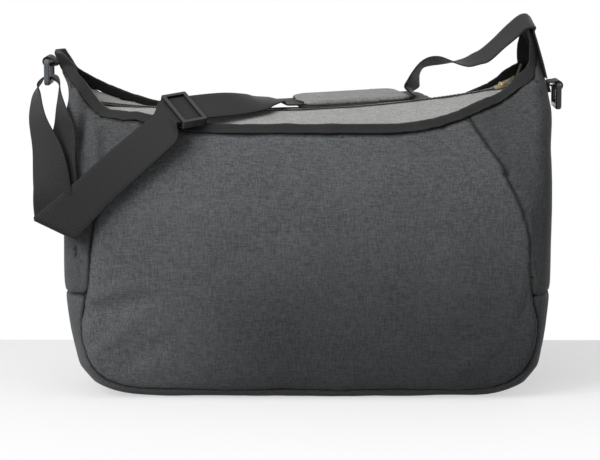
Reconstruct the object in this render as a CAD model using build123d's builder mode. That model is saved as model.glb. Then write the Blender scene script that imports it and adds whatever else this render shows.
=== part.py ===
"""Messenger bag with a zipped mouth, a webbing shoulder strap and a shoulder pad.

Millimetres. +X is to the right, +Y is the back, +Z is up.
The origin is the middle of the flat bottom, on the floor.
"""
import os
from math import asin, cos, degrees, radians, sin, sqrt

from build123d import *

os.makedirs("parts", exist_ok=True)

# ---------------------------------------------------------------- bag body
half_width = 244.0  # middle of the bag to its side
base_depth = 150.0  # front to back, low down
horn_depth = 44.0  # front to back at the strap horns
belly_height = 150.0  # below this the depth stays the same
neck_height = 325.0  # above this the depth stays that of the horns
neck_power = 2.6  # how late the bag narrows towards its horns
front_bow = 7.0  # how far the front and back bow out at the middle
side_bow = 3.0  # how far the sides bow out
edge_height = 30.0  # height of the rounded lower edge
edge_reach_x = 50.0  # how far that edge runs in from the sides
edge_reach_y = 22.0  # how far it runs in from the front and back
side_taper = 8.0  # the sides draw in by this much towards the floor
taper_height = 105.0  # height where that starts
right_lean = 27.0  # the right horn leans in
left_lean = 13.0  # the left horn is pulled out
left_flare_height = 285.0  # from here up
left_neck = 3.0  # the left side draws in by this much below the horn
lean_height = 190.0  # the sides start to lean here
corner_radius = 40.0  # upright corners of the body
horn_corner = 11.0  # the same at the horns
wall = 3.0  # fabric, foam and backing together
body_top = 385.0  # the skin is lofted to here and cut at the mouth

# ---------------------------------------------------------------- mouth
mouth_height = 269.5  # front edge of the mouth at its lowest
mouth_flat = 70.0  # half length of its flat middle
right_rise = 50.0  # the edge climbs this much to the right horn
right_rise_at = 213.0
right_power = 2.2
left_rise = 45.0
left_rise_at = 233.0
left_power = 2.6
right_horn_top = 365.0
left_horn_top = 345.0
left_horn_inner = 246.0  # inner edge of the left horn at its top
right_horn_inner = 212.0
back_tilt = 4.0  # degrees, the back edge stands higher than the front
binding_width = 11.5
binding_skin = 1.2
wide = 300.0  # half width of the tools that cut the mouth

# ---------------------------------------------------------------- seams
seam_floor = 9.0  # front panel's lower seam above the floor
seam_flat = 160.0  # half length of its straight part
seam_top_x = 140.0  # the side seam runs out above the mouth here
seam_top_z = 295.0
side_seam_height = 103.0  # the bottom panel wraps this far up the sides

# ---------------------------------------------------------------- inside
lining_skin = 0.8
board_length = 340.0
board_width = 92.0
board_thick = 2.4
divider_thick = 5.0
divider_place = 34.0  # front face of the divider, behind the middle
divider_top = 225.0
pocket_half = 120.0
pocket_floor = 70.0
pocket_top = 205.0
pocket_swell = 7.0  # how far the pocket stands off the lining
pocket_skin = 1.2

# ---------------------------------------------------------------- zipper
zip_radius = 1380.0  # the chain hangs in this arc
zip_low_x = -60.0  # where it is lowest
zip_low_z = mouth_height + 8.5
tape_half = 11.0  # middle of the chain to the edge of a tape
tape_skin = 0.8
flap_skin = 1.0
flap_drop = 8.0  # the flaps are sewn this far below the mouth's edge
tooth_pitch = 4.0
tooth_length = 1.5  # along the chain
tooth_height = 3.0
tooth_reach = 1.3  # past the middle, between the teeth of the other row
tooth_root = 4.0  # the tape starts here
chain_start = -205.0
chain_end = 180.0
slider_x = 190.0
slider_length = 14.0
slider_half = 5.9
slider_plate = 1.3
slider_flange = 0.9
slider_gap = 0.4  # chain to slider
slider_post = 1.2  # half thickness of the divider post
post_length = 4.0
lug_height = 4.3  # pull pivot above the middle of the chain
lug_radius = 2.2
lug_hole = 1.25
lug_half = 1.0
pull_length = 17.2
pull_width = 6.4
pull_wire = 1.4
pull_angle = 29.0  # degrees above level
stop_length = 3.0
tab_low = (202.5, 305.2)  # fabric tab at the right end of the zipper, in XZ
tab_high = (209.5, 325.0)
tab_thick = 1.5
tab_half = 8.0

# ---------------------------------------------------------------- strap
web_width = 38.0
web_thick = 1.4
web_gap = 0.3  # webbing to whatever slides on it or lies over it

# tri-glide
glide_centre = Vector(-123.0, -52.0, mouth_height + 14.7)
glide_run = Vector(66.0, 40.5, 8.5).normalized()  # the webbing runs this way
glide_length = 27.0
glide_width = 47.0
glide_bar = 4.0
glide_wall = 2.2  # height of the outer bars
glide_core = 1.9  # height of the middle bar
glide_rail = 3.4
glide_travel = 45.0

# shoulder pad
pad_centre = Vector(42.0, 58.0, mouth_height + 16.9)
pad_run = Vector(0.946, 0.322, 0.030).normalized()
pad_length = 118.0
pad_width = 58.0
pad_top = 4.5  # top of the cushion above the middle of the webbing
pad_corner = 15.0
pad_crown = 2.5
pad_base_extra = 22.0  # the base reaches this far past the cushion on the right
pad_base_lip = 1.5
pad_base_thick = 1.4
pad_travel = 12.0

# rings
ring_width = 50.0
ring_height = 26.0
ring_thick = 5.6
ring_bar = 5.0
ring_corner = 5.0
left_ring_x = -259.0
left_ring_top = 331.0
right_ring_x = 244.6
right_ring_top = 307.5
tab_gap = 0.45  # ring bar to the loop round it
ring_tab_width = 36.0
ring_chamfer = 1.2
left_tab_height = 325.5
right_tab_height = 309.8
ring_tab_sewn = 12.0
right_tab_drop = -6.5  # the right tab's ends are sewn below the strap's

# the webbing's free course: (middle, near edge to far edge) or (near edge, far edge)
anchor_heights = (312.0, 325.0, 338.0, 350.0, 360.0)
strap_peak = [
    ((220.5, 0, 368.5), (0, 38, 0)),
    ((216, 0, 372.5), (-1, 38, 0)),
    ((210.5, 0, 371.5), (-2, 37.9, 1)),
    ((200, -1, 362), (-9, 36.5, 3)),
    ((187, 0, 348.5), (-9, 36, 6)),
    ((173, 3, 335), (-6, 36, 9)),
    ((165, 7, 329.5), (-4, 36.5, 8)),
    ((157, 12, 326), (-2, 37, 6)),
    ((148, 20, 325), (-1, 37.8, 1)),
    ((139, 29, 325.5), (0, 37.7, -5)),
    ((130, 38, 326.5), (2, 36.5, -11)),
    ((121, 46, 325.5), (5, 34, -16)),
    ((112, 54, 321), (8, 33.5, -15)),
    ((105.5, 61, 313), (12, 34, -11)),
]
strap_rise = [
    ((103.5, 67, mouth_height + 34), (15, 34, -7)),
    ((104, 72, mouth_height + 27.2), (12, 36, -3)),
    ((104.5, 75.5, mouth_height + 22.2), (4, 37.8, 0)),
    ((103, 77.8, mouth_height + 19.6), (-7, 37.3, 2)),
]
strap_crossing = [
    ((-54, -10, mouth_height + 22.4), (-20, 28, 14)),
    ((-46, -1, mouth_height + 22.8), (-21, 30.5, 6)),
    ((-37, 11, mouth_height + 22.6), (-18, 33, 2)),
    ((-33, 19, mouth_height + 20.7), (-16, 34, 1)),
]
# (near edge, far edge) from the adjuster down to the fold
strap_diagonal = [
    ((-129, -76, 260), (-150, -59, 279)),
    ((-139, -77, 247.5), (-162.6, -62, 269)),
    ((-170, -79, 218.9), (-194.4, -68, 243.6)),
    ((-196, -79.5, 193), (-225, -72, 218)),
]
fold_near = Vector(-224.5, -79.5, 163.5)
fold_far = Vector(-262.0, -73.5, 183.2)
fold_down = Vector(0.43, 0, -0.90)
fold_slip = Vector(-5.0, 0, 2.6)  # the inner fold lies this far along the outer one
fold_outer = 3.6  # radius of the outer layer's fold
fold_inner = 1.6
strap_behind = [
    ((-227, -70.5, 198), (-261, -64.5, 202)),
    ((-227, -68, 236.9), (-262, -50, 235.5)),
    ((-228.6, -60, 265.1), (-253, -29, 262.2)),
    ((-238.5, -46, 285.6), (-251, -11, 282.6)),
    ((-245.5, -25, 298.8), (-251, 12, 295.8)),
]
strap_in_ring = [
    ((-249.3, 0, 306), (-3, 37.8, -2)),
    ((-252, 0, 310.4), (0, 38, 0)),
    ((-255, 0, 312.6), (0, 38, 0)),
    ((-259, 0, 313.2), (0, 38, 0)),
    ((-263, 0, 312.4), (0, 38, 0)),
    ((-266.5, 0, 309.8), (0, 38, 0)),
    ((-269, 0, 305.4), (0, 38, -1)),
]
strap_before = [
    ((-266.6, -19, 298.3), (-276, 17, 295.4)),
    ((-263, -28, 286.1), (-278.8, 8, 285)),
    ((-256.6, -45, 273.7), (-278.6, -12, 270.7)),
    ((-238.8, -69, 245.4), (-272, -47, 243.2)),
    ((-232.5, -74, 209.8), (-268, -66.5, 208.7)),
]
strap_return = [
    ((-196, -77.5, 193), (-225, -70, 218)),
    ((-170, -77, 218.9), (-194.4, -66, 243.6)),
    ((-139.5, -75, 247), (-163, -60, 268.5)),
    ((-129.7, -74, 258.7), (-150.5, -57, 277.8)),
]
pad_side = Vector(-0.322, 0.941, 0.08)
glide_side = Vector(-20.0, 28.4, 20.0)


def neck(z):
    """0 at the belly, 1 at the horns."""
    return min(max((z - belly_height) / (neck_height - belly_height), 0.0), 1.0)


def depth_at(z):
    return base_depth - (base_depth - horn_depth) * neck(z) ** neck_power


def taper_at(z):
    return side_taper * (max(taper_height - z, 0.0) / taper_height) ** 2


def right_edge(z):
    lean = max((z - lean_height) / (right_horn_top - lean_height), 0.0)
    return half_width - taper_at(z) - right_lean * lean**2.4


def left_edge(z):
    flare = max((z - left_flare_height) / (left_horn_top - left_flare_height), 0.0)
    return -half_width + taper_at(z) + left_neck * neck(z) - left_lean * flare**1.5


def body_section(z, shift):
    """A level section of the body. shift moves its skin out (+) or in (-)."""
    lift = max(1.0 - z / edge_height, 0.0)
    level = sqrt(1.0 - lift**2)
    in_x = edge_reach_x * (1.0 - level)
    in_y = edge_reach_y * (1.0 - level)
    right = right_edge(z) - in_x + shift * level
    left = left_edge(z) + in_x - shift * level
    deep = depth_at(z) / 2 - in_y + shift * level
    middle = (left + right) / 2
    near_left = (left + side_bow, -deep + front_bow)
    near_right = (right - side_bow, -deep + front_bow)
    far_right = (right - side_bow, deep - front_bow)
    far_left = (left + side_bow, deep - front_bow)
    corner = corner_radius - (corner_radius - horn_corner) * neck(z) - in_y * 0.4 + shift
    with BuildSketch(Plane.XY.offset(z - shift * lift)) as section:
        with BuildLine():
            ThreePointArc(near_left, (middle, -deep), near_right)
            ThreePointArc(near_right, (right, 0), far_right)
            ThreePointArc(far_right, (middle, deep), far_left)
            ThreePointArc(far_left, (left, 0), near_left)
        make_face()
        fillet(section.vertices(), corner)
    return section.sketch


section_heights = [0, 2, 6, 13, 30, 60, 105, 150, 185, 215, 240, 262, 283, 304, 325, 350, body_top]


def body_solid(shift):
    """The whole body as one solid, up to body_top, with a flat bottom."""
    with BuildPart() as solid:
        loft(sections=[body_section(z, shift) for z in section_heights], ruled=True)
        split(bisect_by=Plane.XY.offset(-shift), keep=Keep.TOP)
    return solid.part


def mouth_edge(x):
    """Height of the front edge of the mouth."""
    if x >= 0:
        climb = max(x - mouth_flat, 0) / (right_rise_at - mouth_flat)
        return mouth_height + right_rise * climb**right_power
    climb = max(-x - mouth_flat, 0) / (left_rise_at - mouth_flat)
    return mouth_height + left_rise * climb**left_power


mouth_plane = Plane(
    origin=(0, -depth_at(mouth_height) / 2, 0),
    x_dir=(1, 0, 0),
    z_dir=(0, -cos(radians(back_tilt)), -sin(radians(back_tilt))),
)


def above_mouth(grow):
    """All that lies above the mouth's edge, moved down and out past it by grow."""
    steps = 12
    span = right_rise_at + left_rise_at
    points = []
    for i in range(steps + 1):
        x = -left_rise_at + span * i / steps
        slope = (mouth_edge(x + 1) - mouth_edge(x - 1)) / 2
        across = grow / sqrt(1 + slope**2)
        points.append((x + slope * across, mouth_edge(x) - across))
    with BuildPart() as tool:
        with BuildSketch(mouth_plane):
            with BuildLine():
                edge = Spline(*points)
                Polyline(
                    edge @ 1,
                    (right_horn_inner + grow, right_horn_top - grow),
                    (wide, right_horn_top - grow),
                    (wide, 2 * body_top),
                    (-wide, 2 * body_top),
                    (-wide, left_horn_top - grow),
                    (-left_horn_inner - grow, left_horn_top - grow),
                    edge @ 0,
                )
            make_face()
        extrude(amount=base_depth, both=True)
    return tool.part


def seam_tool(side):
    """What lies inside the seam of the front (-1) or back (+1) panel."""
    steps = [(seam_flat, seam_floor), (212, 27), (227, 62), (218, 108), (208, 185), (189, 225)]
    steps.append((seam_top_x, seam_top_z))
    with BuildPart() as tool:
        with BuildSketch(Plane.XZ):
            with BuildLine():
                right = Spline(*steps, tangents=((1, 0), (-0.6, 0.8)))
                left = Spline(*[(-x, z) for x, z in steps], tangents=((-1, 0), (0.6, 0.8)))
                Line(right @ 0, left @ 0)
                Polyline(right @ 1, (seam_top_x, body_top), (-seam_top_x, body_top), left @ 1)
            make_face()
        extrude(amount=-side * base_depth)
    return tool.part


def half_space(axis_plane, size=1200.0):
    with BuildPart() as tool:
        with BuildSketch(axis_plane):
            Rectangle(size, size)
        extrude(amount=size)
    return tool.part


def save(part, name):
    part.label = name
    export_step(part, f"parts/{name}.step")


outer = body_solid(0)
cavity = body_solid(-wall)
bound_outer = body_solid(binding_skin)
bound_cavity = body_solid(-wall - binding_skin)
lining_cavity = body_solid(-wall - lining_skin)
mouth_tool = above_mouth(0)
binding_tool = above_mouth(binding_width)
front_tool = seam_tool(-1)
back_tool = seam_tool(1)
below_side_seam = half_space(Plane.XY.offset(side_seam_height).rotated((180, 0, 0)))
right_side = half_space(Plane.YZ)
front_side = half_space(Plane.XZ)

# ---------------------------------------------------------------- panels
with BuildPart() as body_wall:
    add(outer)
    add(cavity, mode=Mode.SUBTRACT, clean=False)
    add(binding_tool, mode=Mode.SUBTRACT, clean=False)

with BuildPart() as front_panel:
    add(body_wall.part)
    add(front_tool, mode=Mode.INTERSECT, clean=False)
save(front_panel.part, "front_panel")

with BuildPart() as back_panel:
    add(body_wall.part)
    add(back_tool, mode=Mode.INTERSECT, clean=False)
save(back_panel.part, "back_panel")

with BuildPart() as sides_and_bottom:
    add(body_wall.part)
    add(front_tool, mode=Mode.SUBTRACT, clean=False)
    add(back_tool, mode=Mode.SUBTRACT, clean=False)

with BuildPart() as bottom_panel:
    add(sides_and_bottom.part)
    add(below_side_seam, mode=Mode.INTERSECT, clean=False)
save(bottom_panel.part, "bottom_panel")

with BuildPart() as right_gusset:
    add(sides_and_bottom.part)
    add(below_side_seam, mode=Mode.SUBTRACT, clean=False)
    add(right_side, mode=Mode.INTERSECT, clean=False)
save(right_gusset.part, "right_gusset")

with BuildPart() as left_gusset:
    add(sides_and_bottom.part)
    add(below_side_seam, mode=Mode.SUBTRACT, clean=False)
    add(right_side, mode=Mode.SUBTRACT, clean=False)
save(left_gusset.part, "left_gusset")

# ---------------------------------------------------------------- binding
with BuildPart() as mouth_binding:
    add(bound_outer)
    add(bound_cavity, mode=Mode.SUBTRACT, clean=False)
    add(mouth_tool, mode=Mode.SUBTRACT, clean=False)
    add(binding_tool, mode=Mode.INTERSECT, clean=False)

with BuildPart() as front_binding:
    add(mouth_binding.part)
    add(front_side, mode=Mode.INTERSECT, clean=False)
save(front_binding.part, "front_binding")

with BuildPart() as back_binding:
    add(mouth_binding.part)
    add(front_side, mode=Mode.SUBTRACT, clean=False)
save(back_binding.part, "back_binding")

# ---------------------------------------------------------------- lining
with BuildPart() as lining:
    add(cavity)
    add(lining_cavity, mode=Mode.SUBTRACT, clean=False)
    add(binding_tool, mode=Mode.SUBTRACT, clean=False)
save(lining.part, "lining")

floor_height = wall + lining_skin
with BuildPart() as base_board:
    with BuildSketch(Plane.XY.offset(floor_height)):
        RectangleRounded(board_length, board_width, 12)
    extrude(amount=board_thick)
save(base_board.part, "base_board")

with BuildPart() as divider_blank:
    with BuildSketch(Plane.XZ.offset(-divider_place)):
        with BuildLine():
            foot = floor_height + board_thick
            Polyline(
                (-board_length / 2, foot),
                (board_length / 2, foot),
                (half_width, foot + edge_height),
                (half_width, divider_top - edge_height),
                (half_width - edge_height, divider_top),
                (-half_width + edge_height, divider_top),
                (-half_width, divider_top - edge_height),
                (-half_width, foot + edge_height),
                close=True,
            )
        make_face()
    extrude(amount=-divider_thick)

with BuildPart() as laptop_divider:
    add(divider_blank.part)
    add(lining_cavity, mode=Mode.INTERSECT, clean=False)
save(laptop_divider.part, "laptop_divider")

with BuildPart() as pocket_block:
    with BuildSketch(Plane.XZ):
        with Locations((0, (pocket_floor + pocket_top) / 2)):
            Rectangle(2 * pocket_half, pocket_top - pocket_floor)
    extrude(amount=base_depth)

with BuildPart() as pocket_hollow:
    with BuildSketch(Plane.XZ):
        with Locations((0, (pocket_floor + pocket_skin + pocket_top) / 2 + 5)):
            Rectangle(2 * (pocket_half - pocket_skin), pocket_top - pocket_floor - pocket_skin + 10)
    extrude(amount=base_depth)

pocket_depth = wall + lining_skin
with BuildPart() as pocket_space:
    add(body_solid(-pocket_depth - pocket_skin))
    add(body_solid(-pocket_depth - pocket_swell + pocket_skin), mode=Mode.SUBTRACT, clean=False)
    add(pocket_hollow.part, mode=Mode.INTERSECT, clean=False)

with BuildPart() as organiser_pocket:
    add(lining_cavity)
    add(body_solid(-pocket_depth - pocket_swell), mode=Mode.SUBTRACT, clean=False)
    add(pocket_block.part, mode=Mode.INTERSECT, clean=False)
    add(pocket_space.part, mode=Mode.SUBTRACT, clean=False)
save(organiser_pocket.part, "organiser_pocket")

# ---------------------------------------------------------------- closure
zip_centre = (zip_low_x, zip_low_z + zip_radius)


def zip_angle(x):
    """Degrees along the chain from its lowest point to x."""
    return degrees(asin((x - zip_low_x) / zip_radius))


def zip_point(radius, angle):
    turn = radians(angle)
    return (zip_centre[0] + radius * sin(turn), zip_centre[1] - radius * cos(turn))


def zip_height(x):
    return zip_point(zip_radius, zip_angle(x))[1]


def arc_block(start, end, under, over, y_from, y_to):
    """That piece as a block between two depths, y_from nearer the front than y_to."""
    with BuildPart() as block:
        with BuildSketch(Plane.XZ.offset(-y_to)) as face:
            middle = (start + end) / 2
            low, high = zip_radius + under, zip_radius - over
            with BuildLine():
                ThreePointArc(zip_point(low, start), zip_point(low, middle), zip_point(low, end))
                Line(zip_point(low, end), zip_point(high, end))
                ThreePointArc(zip_point(high, end), zip_point(high, middle), zip_point(high, start))
                Line(zip_point(high, start), zip_point(low, start))
            make_face()
        extrude(amount=y_to - y_from)
    return block.part


def closure_flap(side):
    """One flap from inside the mouth's edge to the zipper tape, trimmed to the bag."""
    sections = []
    for x in (-250, -215, -170, -110, -40, 40, 105, 150, 185, 210, 235):
        capped = min(max(x, -left_rise_at), right_rise_at)
        edge = mouth_edge(capped) - flap_drop
        edge += (1 + side) * depth_at(mouth_height) / 2 * sin(radians(back_tilt))
        reach = depth_at(edge) / 2 + 2 * wall
        chain = zip_height(x)
        with BuildSketch(Plane.YZ.offset(x)) as section:
            with BuildLine():
                Polyline(
                    (side * tape_half, chain - flap_skin / 2),
                    (side * tape_half, chain + flap_skin / 2),
                    (side * reach, edge + flap_skin / 2),
                    (side * reach, edge - flap_skin / 2),
                    close=True,
                )
            make_face()
        sections.append(section.sketch)
    with BuildPart() as flap:
        loft(sections=sections)
        add(bound_cavity, mode=Mode.INTERSECT, clean=False)
    return flap.part


save(closure_flap(-1), "front_flap")
save(closure_flap(1), "back_flap")

tape_start = zip_angle(-half_width - 20)
tape_end = zip_angle(half_width)
with BuildPart() as front_tape:
    add(arc_block(tape_start, tape_end, tape_skin / 2, tape_skin / 2, -tape_half, -tooth_root))
    add(bound_cavity, mode=Mode.INTERSECT, clean=False)
save(front_tape.part, "front_zip_tape")

with BuildPart() as back_tape:
    add(arc_block(tape_start, tape_end, tape_skin / 2, tape_skin / 2, tooth_root, tape_half))
    add(bound_cavity, mode=Mode.INTERSECT, clean=False)
save(back_tape.part, "back_zip_tape")

tooth_step = degrees(tooth_pitch / zip_radius)
tooth_count = int((zip_angle(chain_end) - zip_angle(chain_start)) / tooth_step)


def teeth(first, y_from, y_to):
    """One row of teeth along the arc."""
    with BuildPart() as row:
        with BuildSketch(Plane.XZ.offset(-y_to)):
            with Locations(zip_centre):
                with PolarLocations(zip_radius, tooth_count, first - 90, tooth_step * tooth_count):
                    Rectangle(tooth_height, tooth_length)
        extrude(amount=y_to - y_from)
    return row.part


save(teeth(zip_angle(chain_start), -tooth_root, tooth_reach), "front_teeth")
save(teeth(zip_angle(chain_start) + tooth_step / 2, -tooth_reach, tooth_root), "back_teeth")

stop_turn = degrees(stop_length / zip_radius)
bottom_stop = zip_angle(chain_start) - 2.5 * stop_turn
top_stop = zip_angle(slider_x + slider_length)
with BuildPart() as zip_stops:
    half_tooth = tooth_height / 2
    add(arc_block(bottom_stop, bottom_stop + stop_turn, half_tooth, half_tooth, -tooth_root, tooth_root))
    add(arc_block(top_stop, top_stop + stop_turn, half_tooth, half_tooth, -tooth_root, -2))
    add(arc_block(top_stop, top_stop + stop_turn, half_tooth, half_tooth, 2, tooth_root))
save(zip_stops.part, "zip_stops")

tab_rise = Vector(tab_high[0] - tab_low[0], tab_high[1] - tab_low[1])
with BuildPart() as zip_end_tab:
    with BuildSketch(Plane.XZ.offset(-tab_half)):
        with Locations(((tab_low[0] + tab_high[0]) / 2, (tab_low[1] + tab_high[1]) / 2)):
            lean = degrees(asin(tab_rise.Y / tab_rise.length))
            Rectangle(tab_rise.length, tab_thick, rotation=lean)
    extrude(amount=2 * tab_half)
save(zip_end_tab.part, "zip_end_tab")

# ---------------------------------------------------------------- slider
slider_angle = zip_angle(slider_x)
slider_turn = degrees(slider_length / 2 / zip_radius)
plate_low = tooth_height / 2 + slider_gap
plate_high = plate_low + slider_plate
flange_low = tape_skin / 2 + slider_gap
sl_from, sl_to = slider_angle - slider_turn, slider_angle + slider_turn
post_turn = degrees(post_length / zip_radius)
pivot = zip_point(zip_radius - lug_height, slider_angle)
with BuildPart() as zip_slider:
    add(arc_block(sl_from, sl_to, -plate_low, plate_high, -slider_half, slider_half))
    add(arc_block(sl_from, sl_to, plate_high, -plate_low, -slider_half, slider_half))
    for edge_from in (-slider_half, slider_half - slider_flange):
        add(arc_block(sl_from, sl_to, -flange_low, plate_high, edge_from, edge_from + slider_flange))
        add(arc_block(sl_from, sl_to, plate_high, -flange_low, edge_from, edge_from + slider_flange))
    add(arc_block(sl_to - post_turn, sl_to, plate_high, plate_high, -slider_post, slider_post))
    with BuildSketch(Plane.XZ.offset(-lug_half)):
        with Locations(pivot):
            Circle(lug_radius)
    extrude(amount=2 * lug_half)
    with BuildSketch(Plane.XZ.offset(-lug_half)):
        with Locations(zip_point(zip_radius - (plate_high + lug_height) / 2, slider_angle)):
            Rectangle(2 * lug_radius, lug_height - plate_high + 1, rotation=slider_angle)
    extrude(amount=2 * lug_half)
    with BuildSketch(Plane.XZ.offset(-2 * lug_half)):
        with Locations(pivot):
            Circle(lug_hole)
    extrude(amount=4 * lug_half, mode=Mode.SUBTRACT)
save(zip_slider.part, "zip_slider")

pull_plane = Plane(
    origin=(pivot[0], 0, pivot[1]),
    x_dir=(cos(radians(pull_angle)), 0, sin(radians(pull_angle))),
    z_dir=(-sin(radians(pull_angle)), 0, cos(radians(pull_angle))),
)
with BuildPart() as zip_pull:
    with BuildSketch(pull_plane.offset(-pull_wire / 2)):
        with Locations((pull_length / 2 - pull_wire / 2, 0)):
            RectangleRounded(pull_length, pull_width, pull_width / 2 - 1)
            RectangleRounded(
                pull_length - 2 * pull_wire,
                pull_width - 2 * pull_wire,
                pull_width / 2 - 1 - pull_wire / 2,
                mode=Mode.SUBTRACT,
            )
    extrude(amount=pull_wire)
save(zip_pull.part, "zip_pull")

# ---------------------------------------------------------------- rings and their tabs
def ring(centre_x, top):
    """A moulded rectangular ring that hangs in the YZ plane."""
    with BuildPart() as part:
        with BuildSketch(Plane.YZ.offset(centre_x - ring_thick / 2)):
            with Locations((0, top - ring_height / 2)):
                RectangleRounded(ring_width, ring_height, ring_corner)
                RectangleRounded(
                    ring_width - 2 * ring_bar,
                    ring_height - 2 * ring_bar,
                    ring_corner / 2,
                    mode=Mode.SUBTRACT,
                )
        extrude(amount=ring_thick)
        chamfer(part.edges().filter_by(Axis.Y), ring_chamfer)
    return part.part


bar_half = sqrt((ring_thick / 2) ** 2 + (ring_bar / 2) ** 2) - ring_chamfer / 2
loop_inner = bar_half + tab_gap
loop_outer = loop_inner + web_thick


def ring_tab(centre_x, top, seat, drop):
    """Webbing looped round the ring's top bar, with its two ends sewn to the bag at seat."""
    bar = (centre_x, top - ring_bar / 2)
    run = Vector(seat[0] - bar[0], seat[1] - bar[1])
    lean = degrees(asin(run.Y / run.length))
    if run.X < 0:
        lean = 180 - lean
    with BuildPart() as part:
        with BuildSketch(Plane.XZ.offset(-ring_tab_width / 2)):
            with Locations(bar):
                Circle(loop_outer)
            with Locations(((bar[0] + seat[0]) / 2, (bar[1] + seat[1]) / 2)):
                Rectangle(run.length, 2 * web_thick, rotation=lean)
            with Locations((seat[0], seat[1] + drop)):
                Rectangle(2 * web_thick, ring_tab_sewn, rotation=0)
            with Locations(bar):
                Circle(loop_inner, mode=Mode.SUBTRACT)
        extrude(amount=ring_tab_width)
        add(outer, mode=Mode.SUBTRACT, clean=False)
        add(front_binding.part, mode=Mode.SUBTRACT, clean=False)
        add(back_binding.part, mode=Mode.SUBTRACT, clean=False)
    return part.part


left_seat = (left_edge(left_tab_height), left_tab_height)
right_seat = (right_edge(right_tab_height), right_tab_height)
save(ring(left_ring_x, left_ring_top), "left_ring")
save(ring(right_ring_x, right_ring_top), "right_ring")
save(ring_tab(left_ring_x, left_ring_top, left_seat, 0), "left_ring_tab")
save(ring_tab(right_ring_x, right_ring_top, right_seat, right_tab_drop), "right_ring_tab")


# ---------------------------------------------------------------- strap
def across(sideways, forwards):
    """sideways made square to forwards, one unit long."""
    return (sideways - forwards * sideways.dot(forwards)).normalized()


def ribbon(stations, lift=0.0):
    """Webbing through (middle, near edge to far edge) stations, moved off its face by lift."""
    middles = [Vector(*middle) for middle, _ in stations]
    sections = []
    for i, (_, spread) in enumerate(stations):
        spread = Vector(*spread)
        ahead = middles[min(i + 1, len(middles) - 1)] - middles[max(i - 1, 0)]
        sideways = spread.normalized()
        forwards = across(ahead, sideways)
        face = forwards.cross(sideways)
        plane = Plane(origin=middles[i] + face * lift, x_dir=sideways, z_dir=forwards)
        with BuildSketch(plane) as section:
            Rectangle(spread.length, web_thick)
        sections.append(section.sketch)
    with BuildPart() as part:
        loft(sections=sections, ruled=True)
    return part.part


def station(near, far):
    """A station from the two edges of the webbing."""
    near, far = Vector(*near), Vector(*far)
    return (tuple((near + far) / 2), tuple(far - near))


pad_across = across(pad_side, pad_run)
pad_up = pad_run.cross(pad_across)
glide_across = across(glide_side, glide_run)
glide_up = glide_run.cross(glide_across)


def on_pad(along):
    return (tuple(pad_centre + pad_run * along), tuple(pad_across * web_width))


def on_glide(along):
    return (tuple(glide_centre + glide_run * along), tuple(glide_across * web_width))


horn_gap = binding_skin + web_thick / 2 + web_gap
horn_side = [right_edge(z) + horn_gap for z in anchor_heights]
strap_over_horn = [((x, 0, z), (0, web_width, 0)) for x, z in zip(horn_side, anchor_heights)]
strap_over_horn += strap_peak
strap_run = [on_pad(-pad_length / 2 - pad_travel - 3), on_pad(pad_length / 2 + 2)]
glide_half = glide_length / 2 + 1.5
strap_front = [on_glide(-glide_half), on_glide(glide_travel + glide_half)]

with BuildPart() as strap_right_run:
    add(ribbon(strap_front + strap_crossing + strap_run + strap_rise[::-1] + strap_over_horn[::-1]))
save(strap_right_run.part, "strap_right_run")


def fold(radius, shift, turns):
    """Half a turn round the fold at the strap's lowest point."""
    bend = []
    for turn in turns:
        away = Vector(0, radius * (1 - cos(radians(turn))), 0)
        away += fold_down * radius * sin(radians(turn))
        bend.append(station(fold_near + shift + away, fold_far + shift + away))
    return bend


inner_shift = fold_slip + Vector(0, fold_outer - fold_inner, 0)
half_turn = range(0, 181, 45)
layer_drop = web_thick + 2 * web_gap
return_end = (
    tuple(glide_centre - glide_run * (glide_half + 0.2) - glide_up * layer_drop),
    tuple(glide_across * web_width),
)
return_bend = (
    tuple(glide_centre - glide_run * (glide_half + 3) - glide_up * layer_drop),
    tuple(glide_across * web_width),
)
lower_course = [on_glide(-glide_half), on_glide(-glide_half - 3)]
lower_course += [station(*edges) for edges in strap_diagonal]
lower_course += fold(fold_outer, Vector(0, 0, 0), half_turn)
lower_course += [station(*edges) for edges in strap_behind]
lower_course += strap_in_ring
lower_course += [station(*edges) for edges in strap_before]
lower_course += fold(fold_inner, inner_shift, reversed(half_turn))
lower_course += [station(*edges) for edges in strap_return]
lower_course += [return_bend, return_end]

with BuildPart() as strap_left_run:
    add(ribbon(lower_course))
save(strap_left_run.part, "strap_left_run")

# ---------------------------------------------------------------- strap adjuster
glide_plane = Plane(origin=glide_centre, x_dir=glide_run, z_dir=glide_up)
web_face = web_thick / 2 + web_gap
bar_low = -(web_face + web_thick + web_gap + glide_core)
rail_place = (glide_width - glide_rail) / 2
with BuildPart() as strap_adjuster:
    with BuildSketch(glide_plane.offset(web_face)):
        RectangleRounded(glide_length, glide_width, glide_rail)
        Rectangle(glide_length - 2 * glide_bar, glide_width - 2 * glide_rail, mode=Mode.SUBTRACT)
    extrude(amount=glide_wall)
    with BuildSketch(glide_plane.offset(bar_low)):
        with Locations((0, rail_place), (0, -rail_place)):
            RectangleRounded(glide_length, glide_rail, glide_rail / 2 - 0.1)
    extrude(amount=web_face + glide_wall - bar_low)
    with BuildSketch(glide_plane.offset(bar_low)):
        Rectangle(glide_bar, glide_width - glide_rail)
    extrude(amount=glide_core)
save(strap_adjuster.part, "strap_adjuster")

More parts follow.
